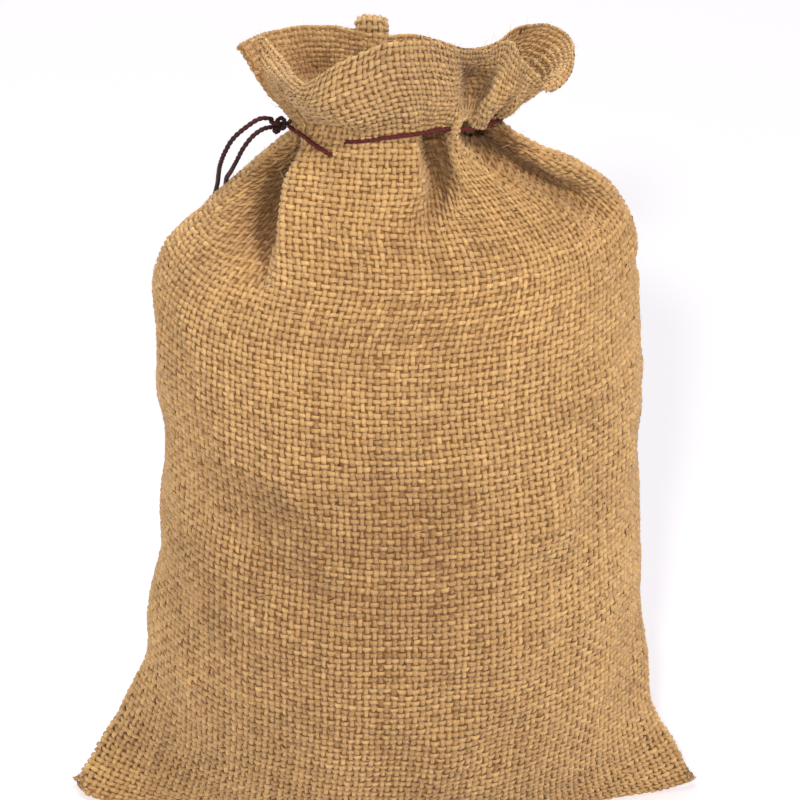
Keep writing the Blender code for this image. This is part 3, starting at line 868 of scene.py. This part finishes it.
def looseFibres(grid, normals, material, barkMaterial):
    rows, columns = grid.shape[:2]
    around = unit(acrossGrid(grid))
    up = unit(np.gradient(grid, axis=0))

    def scatter(count, lowestRow, length, lift, reach):
        i = random.integers(lowestRow, rows - 1, count)
        j = random.integers(0, columns, count)
        inside = (i > rows * sack["neck"] / sack["height"]) & (random.random(count) < fuzz["insideShare"])
        out = normals[i, j] * np.where(inside, -1, 1)[:, None]
        turn = random.uniform(0, 2 * math.pi, count)[:, None]
        ahead = around[i, j] * np.cos(turn) + up[i, j] * np.sin(turn)
        aside = np.cross(out, ahead)
        long = random.uniform(*length, count)[:, None] * mm
        high = random.uniform(*lift, count)[:, None] * mm
        bend = random.uniform(-fuzz["bend"], fuzz["bend"], count)[:, None] * long
        t = np.linspace(0, 1, len(fuzz["taper"]))[None, :, None]
        centre = grid[i, j][:, None] + reach * mm * out[:, None]
        centre = centre + ahead[:, None] * long[:, None] * t + aside[:, None] * bend[:, None] * t**2
        curl = random.uniform(*fuzz["curl"], (count, 1, 1))
        centre = centre + out[:, None] * high[:, None] * np.sin(t * curl)
        centre[..., 2] = np.maximum(centre[..., 2], fuzz["lowest"] * mm)
        roll = random.uniform(0, math.pi, (count, 1, 1))
        side = aside[:, None] * np.cos(roll) + out[:, None] * np.sin(roll) + 0 * t
        return centre, unit(side), np.broadcast_to(out[:, None], centre.shape)

    def thickness(kind, count):
        taper = np.array(kind["taper"])[None] * random.uniform(*kind["thickness"], (count, 1))
        tint = np.repeat(random.uniform(*kind["tint"], (count, 1)), len(kind["taper"]), axis=1)
        return kind["halfWidth"] * mm * taper, tint

    length, lift = fuzz["length"], fuzz["lift"]
    wide = scatter(fuzz["count"], rows // fuzz["lowestPart"], length, lift, fuzz["root"])
    edge = scatter(fuzz["rimCount"], int(rows * fuzz["rimShare"]), length, lift, fuzz["rimRoot"])
    centre, side, out = (np.concatenate([a, b]) for a, b in zip(wide, edge))
    width, tint = thickness(fuzz, fuzz["count"] + fuzz["rimCount"])
    fibres = tubes("loose_fibres", centre, side, out, width, 0 * width, ribbonProfile, material, tint)

    lowest = rows // barkBits["lowestPart"]
    centre, side, out = scatter(
        barkBits["count"], lowest, barkBits["length"], barkBits["lift"], barkBits["root"]
    )
    width, tint = thickness(barkBits, barkBits["count"])
    aside = unit(side - (side * out).sum(axis=2, keepdims=True) * out)
    shape = (centre, aside, out, width, barkBits["thinness"] * width)
    bark = tubes("bark_bits", *shape, wholeProfile, barkMaterial, tint, whole=True)
    return [fibres, bark]


# the small rolled tab on the back rim

tab = {
    "middle": (-3.4, 15.6, 255.6),  # where it leaves the rim, in millimetres
    "width": 10.4,
    "rise": 4.4,
    "roll": 1.7,  # radius at the top
    "tail": 2.6,  # how far both its ends go down below the rim
    "narrowing": 0.10,  # how much narrower it is at the top
    "bow": 1.6,  # how far its sides lie behind its middle
    "droop": 2.6,  # how far its corners hang down
    "slant": 0.4,
    "warps": 6,
    "wefts": 8,
    "wave": 0.8,  # its yarns' rise against the sack's
    "crowding": 0.44,
    "lighter": 0.12,
    "tintCells": 6,
}


def rolledTab(materials):
    fine = sack["finest"]
    half = fine // 2
    high, radius, tail = tab["rise"], tab["roll"], tab["tail"]
    # the line of the cloth from in front of the rim, over the top and down behind it
    angle = np.linspace(0, math.pi, 12)
    line = np.concatenate(
        [
            [(-radius, -tail), (-radius, 0), (-radius, high / 2)],
            np.stack([-radius * np.cos(angle), high + radius * np.sin(angle)], axis=1),
            [(radius, high / 2), (radius, 0), (radius, -tail)],
        ]
    )
    length = travelled(line)
    rows, columns = tab["wefts"] * fine + 1, tab["warps"] * fine + 1
    even = np.linspace(0, length[-1], rows)
    y, z = np.interp(even, length, line[:, 0]), np.interp(even, length, line[:, 1])[:, None]
    s = np.linspace(-1, 1, columns)[None]
    top = high + radius
    x = s * tab["width"] / 2 * (1 - tab["narrowing"] * (z / top) ** 2)
    bow = tab["bow"] * s**2 + 0 * x
    drop = np.clip(z, 0, None) / top * (tab["droop"] * s**4 + tab["slant"] * s)
    grid = np.stack([x, y[:, None] + bow, z - drop], axis=-1) + np.array(tab["middle"])
    grid = grid * mm
    around = np.gradient(grid, axis=1)
    up = np.gradient(grid, axis=0)
    out = unit(np.cross(around, up))
    pieces = []
    kinds = (("tab_warps", False, materials[0]), ("tab_wefts", True, materials[1]))
    for name, acrossYarns, material in kinds:
        yarnPlaces, samplePlaces = (rows, columns) if acrossYarns else (columns, rows)
        yarns = np.arange(half, yarnPlaces, fine)[:, None]
        samples = np.concatenate([[0], np.arange(1, samplePlaces, half)])[None]
        pick = (yarns, samples) if acrossYarns else (samples, yarns)
        side = up[pick] if acrossYarns else around[pick]
        spacing = np.linalg.norm(side, axis=2) * fine
        count = samples.size
        cell = np.concatenate([[0], np.repeat(np.arange(count // 2 + 1), 2)])[:count]
        sign = overUnder(cell, len(yarns))
        sign = -sign if acrossYarns else sign
        centre = grid[pick] + out[pick] * (tab["wave"] * yarn["wave"] * mm * sign)[..., None]
        width = np.minimum(yarn["halfWidth"] * mm, tab["crowding"] * spacing)
        height = yarn["halfHeight"] * mm + 0 * width
        tint = yarnTint(len(yarns), count, tab["tintCells"]) + tab["lighter"]
        profile = wholeProfile[::-1] if acrossYarns else wholeProfile
        shape = (centre, unit(side), out[pick], width, height)
        pieces.append(tubes(name, *shape, profile, material, tint, whole=True))
    return pieces


# materials


def addNode(tree, kind, label=None, **values):
    node = tree.nodes.new(kind)
    if label:
        node.label = label
    for name, value in values.items():
        setattr(node, name, value)
    return node


def addMath(tree, operation, first, second, third=None, **values):
    # a Math node whose inputs are sockets or plain numbers
    node = addNode(tree, "ShaderNodeMath", operation=operation, **values)
    for place, value in enumerate((first, second, third)):
        if value is None:
            continue
        if isinstance(value, (int, float)):
            node.inputs[place].default_value = value
        else:
            tree.links.new(value, node.inputs[place])
    return node.outputs[0]


fibreLook = {
    "stretch": (1.1, 7.0, 1.0),  # strands are long along the yarn and thin round it
    "strands": {"Scale": 1.0, "Detail": 3.0},
    "strandContrast": 1.5,
    "patches": {"Scale": 0.35, "Detail": 2.0},
    "patchContrast": 0.35,
    "twist": 0.55,
    "bump": 0.7,
    "bumpHeight": 0.0003,
    "surface": {"Specular IOR Level": 0.25, "Sheen Roughness": 0.5},
}
# the dark and the light of each finish, its roughness and its sheen
finishes = {
    "jute": ((0.215, 0.090, 0.022, 1), (0.72, 0.448, 0.175, 1), 0.82, 0.35),
    "fibre": ((0.50, 0.31, 0.12, 1), (0.82, 0.58, 0.29, 1), 0.82, 0.35),
    "bark": ((0.035, 0.014, 0.006, 1), (0.16, 0.065, 0.022, 1), 0.9, 0.1),
    "cord": ((0.016, 0.003, 0.003, 1), (0.145, 0.011, 0.008, 1), 0.6, 0.05),
}


def fibreGroup():
    group = bpy.data.node_groups.new("juteFibres", "ShaderNodeTree")
    sockets = group.interface
    for name, kind, value in (
        ("Tint", "NodeSocketFloat", 0.5),
        ("Along", "NodeSocketFloat", sack["height"]),
        ("Yarns", "NodeSocketFloat", sack["warps"] / 2),
        ("Twist", "NodeSocketFloat", fibreLook["twist"]),
        ("Dark", "NodeSocketColor", (0.2, 0.1, 0.03, 1)),
        ("Light", "NodeSocketColor", (0.7, 0.5, 0.25, 1)),
    ):
        socket = sockets.new_socket(name, in_out="INPUT", socket_type=kind)
        socket.default_value = value
    sockets.new_socket("Color", in_out="OUTPUT", socket_type="NodeSocketColor")
    sockets.new_socket("Height", in_out="OUTPUT", socket_type="NodeSocketFloat")
    link = group.links.new
    given = addNode(group, "NodeGroupInput")
    result = addNode(group, "NodeGroupOutput")
    where = addNode(group, "ShaderNodeUVMap", uv_map="OFBake")
    split = addNode(group, "ShaderNodeSeparateXYZ")
    link(where.outputs["UV"], split.inputs[0])
    length = addMath(group, "MULTIPLY", split.outputs["X"], given.outputs["Along"])
    turn = addMath(group, "MULTIPLY", split.outputs["Y"], given.outputs["Yarns"])
    twist = addMath(group, "MULTIPLY_ADD", length, given.outputs["Twist"], turn)
    place = addNode(group, "ShaderNodeCombineXYZ")
    link(length, place.inputs["X"])
    link(twist, place.inputs["Y"])
    scaled = addNode(group, "ShaderNodeVectorMath", operation="MULTIPLY")
    link(place.outputs[0], scaled.inputs[0])
    scaled.inputs[1].default_value = fibreLook["stretch"]
    strands = addNode(group, "ShaderNodeTexNoise", "strands")
    fill(strands, fibreLook["strands"])
    link(scaled.outputs[0], strands.inputs["Vector"])
    patches = addNode(group, "ShaderNodeTexNoise", "patches")
    fill(patches, fibreLook["patches"])
    link(place.outputs[0], patches.inputs["Vector"])
    strandContrast, patchContrast = fibreLook["strandContrast"], fibreLook["patchContrast"]
    blend = addMath(group, "MULTIPLY_ADD", strands.outputs[0], strandContrast, given.outputs["Tint"])
    blend = addMath(group, "MULTIPLY_ADD", patches.outputs[0], patchContrast, blend)
    # both noises lie about 0.5, so this leaves the tint as the middle of the blend
    factor = addMath(group, "SUBTRACT", blend, (strandContrast + patchContrast) / 2, use_clamp=True)
    mix = addNode(group, "ShaderNodeMix", data_type="RGBA")
    link(factor, mix.inputs["Factor"])
    link(given.outputs["Dark"], mix.inputs["A"])
    link(given.outputs["Light"], mix.inputs["B"])
    link(mix.outputs["Result"], result.inputs["Color"])
    link(strands.outputs[0], result.inputs["Height"])
    return group


def yarnMaterial(
    name, group, along, yarns, finish, twist=fibreLook["twist"], bumpHeight=fibreLook["bumpHeight"]
):
    # along is a yarn's length and yarns their number, which give the fibres their scale on the map
    dark, light, roughness, sheen = finishes[finish]
    surface = {"Roughness": roughness, "Sheen Weight": sheen, **fibreLook["surface"]}
    material, tree, shader = newMaterial(name, surface)
    fibres = addNode(tree, "ShaderNodeGroup", node_tree=group)
    fill(fibres, {"Along": along, "Yarns": yarns, "Twist": twist, "Dark": dark, "Light": light})
    tint = addNode(tree, "ShaderNodeAttribute", attribute_name="tint")
    tree.links.new(tint.outputs["Fac"], fibres.inputs["Tint"])
    tree.links.new(fibres.outputs["Color"], shader.inputs["Base Color"])
    bump = addNode(tree, "ShaderNodeBump")
    fill(bump, {"Strength": fibreLook["bump"], "Distance": bumpHeight})
    tree.links.new(fibres.outputs["Height"], bump.inputs["Height"])
    tree.links.new(bump.outputs["Normal"], shader.inputs["Normal"])
    return material


def webMaterial():
    material, tree, shader = newMaterial("fibreWeb", webCloth["surface"])
    where = addNode(tree, "ShaderNodeTexCoord")
    noise = addNode(tree, "ShaderNodeTexNoise")
    fill(noise, webCloth["grain"])
    tree.links.new(where.outputs["Object"], noise.inputs["Vector"])
    mix = addNode(tree, "ShaderNodeMix", data_type="RGBA")
    mix.inputs["A"].default_value, mix.inputs["B"].default_value = webCloth["colors"]
    tree.links.new(noise.outputs[0], mix.inputs["Factor"])
    tree.links.new(mix.outputs["Result"], shader.inputs["Base Color"])
    return material


# the drawstring, in millimetres: its free ends from the knot to the tip, and its line through the cloth

cord = {
    "diameter": 1.6,
    "shade": 0.5,  # tint of the part that runs through the cloth
    "endShade": 0.12,  # painted shade: the knot and the free ends are darker than the part in the cloth
    "shadeNoise": 0.1,
    "shadeCells": 12,
    "strand": 0.60,  # radius of each of its two strands
    "tip": 0.4,  # radius at the ends of a strand, as a share
    "pitch": 3.4,  # length of one turn
    "step": 0.55,  # between two places along it
    "knotStep": 0.45,
    "lineSteps": 1200,
    "knotMiddle": (-31.6, -2.6, 234.5),
    "knotReach": (2.3, 1.9, 2.0),
    "mapLength": 60,
    "twist": 1.0,
    "bumpHeight": 0.0001,
}
outerEnd = [
    (-33, -3.6, 236.8), (-36.5, -5.4, 237.9), (-41.1, -7.0, 235.7), (-45.3, -8.0, 232.0),
    (-47.5, -7.5, 227.8), (-49.1, -5.0, 222.6), (-49.9, 0.0, 216.9), (-50.5, 6.0, 211.0),
    (-51.7, 11.5, 204.6), (-53.5, 15.0, 197.5),
]
innerEnd = [
    (-33.1, -4.5, 234.7), (-36, -7.2, 235.2), (-38.9, -9.4, 234.0), (-41.7, -10.6, 230.8),
    (-43.9, -10.0, 226.2), (-45.7, -6.4, 221.2), (-46.9, -0.6, 216.9), (-47.7, 5.4, 213.0),
    (-48.3, 11.0, 208.2), (-49.1, 15.6, 202.2),
]
# panel, share of its outline, height on the cloth, and how far it stands outside the cloth's middle
loopLine = [
    (1, 0.005, 276.0, 2.0), (1, 0.04, 275.0, 1.2), (1, 0.10, 273.1, 1.2), (1, 0.15, 270.9, 1.2),
    (1, 0.20, 269.0, 1.1), (1, 0.235, 267.6, 0.9), (1, 0.25, 267.6, -0.6), (1, 0.265, 269.5, -1.7),
    (1, 0.285, 272.0, 0.4), (1, 0.31, 272.7, 1.3), (1, 0.40, 273.8, 1.4), (1, 0.50, 275.0, 1.4),
    (1, 0.60, 276.0, 1.4), (1, 0.66, 276.5, 1.4), (1, 0.71, 276.8, 1.1), (1, 0.755, 276.4, 0.9),
    (1, 0.80, 276.0, 1.2), (1, 0.86, 276.1, 1.4), (1, 0.92, 276.4, 1.5), (1, 0.975, 276.4, 1.6),
    (-1, 0.97, 276.2, 1.5), (-1, 0.90, 276.0, 1.2), (-1, 0.86, 276.0, -1.6), (-1, 0.80, 276.0, -1.6),
    (-1, 0.76, 276.0, 1.3), (-1, 0.68, 276.0, 1.4), (-1, 0.63, 276.0, -1.6), (-1, 0.57, 276.0, -1.6),
    (-1, 0.53, 276.0, 1.3), (-1, 0.43, 276.0, 1.4), (-1, 0.39, 276.0, -1.6), (-1, 0.33, 276.0, -1.6),
    (-1, 0.29, 276.0, 1.3), (-1, 0.19, 276.0, 1.4), (-1, 0.15, 276.0, -1.6), (-1, 0.10, 276.0, -1.2),
    (-1, 0.06, 276.0, 1.3), (-1, 0.02, 276.0, 1.9),
]


def twistedCord(name, points, node, material, shade):
    # two strands wound round each other, along points that are evenly spaced
    length = travelled(points)
    ahead = unit(np.gradient(points, axis=0))
    first = np.cross(ahead[0], (0, 0, 1.0))
    aside = [unit(first)]
    for direction in ahead[1:]:
        last = aside[-1]
        aside.append(unit(last - direction * np.dot(last, direction)))
    aside = np.array(aside)
    across = np.cross(ahead, aside)
    away = cord["diameter"] / 2 - cord["strand"]
    centres, sides, outs = [], [], []
    for start in (0, math.pi):
        angle = start + 2 * math.pi * length / cord["pitch"]
        out = aside * np.cos(angle)[:, None] + across * np.sin(angle)[:, None]
        centres.append(points + out * away)
        outs.append(out)
        sides.append(np.cross(ahead, out))
    centres = np.array(centres) * mm
    width = np.full(centres.shape[:2], cord["strand"] * mm)
    width[:, 0] = width[:, -1] = cord["tip"] * cord["strand"] * mm
    tint = shade + cord["shadeNoise"] * yarnNoise(2, len(points), cord["shadeCells"])
    shape = (centres, np.array(sides), np.array(outs), width, width)
    piece = tubes(name, *shape, wholeProfile, material, tint, whole=True, slot="dark_cord")
    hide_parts(node)
    return piece


def evenly(points, step, closed=False):
    # a smooth line through the points, with evenly spaced places on it
    points = np.array(points, float)
    first, last = 0, -1
    if closed:
        points = np.concatenate([points[-3:], points, points[:4]])
        first, last = 3, -4
    length = travelled(points)
    fine = smooth(length, points, np.linspace(length[first], length[last], cord["lineSteps"]))
    run = travelled(fine)
    even = np.linspace(0, run[-1], int(run[-1] / step))
    return np.stack([np.interp(even, run, fine[:, k]) for k in range(3)], axis=1)


def cordEnd(name, node, route, material):
    points = evenly(route, cord["step"])
    # painted shade: the free ends are darker than the cord in the cloth
    piece = twistedCord(name, points, node, material, cord["endShade"])
    return piece


def cordLoop(material):
    points = []
    for panel, share, cloth, lift in loopLine:
        place = np.array([share - sack["probe"], share, share + sack["probe"]])
        behind, middle, ahead = outline(panel, cloth, np.clip(place, 0, 1))
        run = ahead - behind
        out = panel * np.array([run[1], -run[0], 0])
        points.append(middle + unit(out) * (lift - sack["inset"]))
    line = evenly(points, cord["step"], closed=True)
    return twistedCord("drawstring_through", line, "drawstring_loop", material, cord["shade"])


def cordKnot(material):
    turn = np.linspace(0, 2 * math.pi, 90)
    shape = np.stack(
        [
            (np.sin(turn) + 2 * np.sin(2 * turn)) / 3,
            -np.sin(3 * turn),
            (np.cos(turn) - 2 * np.cos(2 * turn)) / 3,
        ],
        axis=1,
    )
    points = np.array(cord["knotMiddle"]) + shape * np.array(cord["knotReach"])
    line = evenly(points, cord["knotStep"])
    # painted shade: the knot is darker than the cord in the cloth
    return twistedCord("drawstring_tied", line, "drawstring_knot", material, cord["endShade"])


makeCamera()
group = fibreGroup()
darkCord = yarnMaterial("darkCord", group, cord["mapLength"], 2, "cord", cord["twist"], cord["bumpHeight"])
cordEnd("cord_end_outer", "drawstring_end_outer", outerEnd, darkCord)
cordEnd("cord_end_inner", "drawstring_end_inner", innerEnd, darkCord)
cordLoop(darkCord)
cordKnot(darkCord)
makeStudio()
print("camera, studio and drawstring")

grid, normals, depths = clothGrid()
print("cloth grid", grid.shape)
warpJute = yarnMaterial("warpJute", group, sack["height"], sack["warps"] / 2, "jute")
weftJute = yarnMaterial("weftJute", group, 2 * sack["width"], sack["wefts"] / 2, "jute")
shading = clothToneAndShade(depths)
yarns = warpYarns(grid, normals, shading, warpJute)
yarns += weftYarns(grid, normals, shading, weftJute)
print("weave")
fibreJute = yarnMaterial("fibreJute", group, fuzz["mapLength"], fuzz["mapYarns"], "fibre")
bark = yarnMaterial("juteBark", group, barkBits["mapLength"], barkBits["count"], "bark")
yarns += looseFibres(grid, normals, fibreJute, bark)
yarns += rolledTab((warpJute, weftJute))
print("loose fibres and tab")
web = clothWeb(grid, normals, webMaterial())
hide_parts("sack")
print("web")
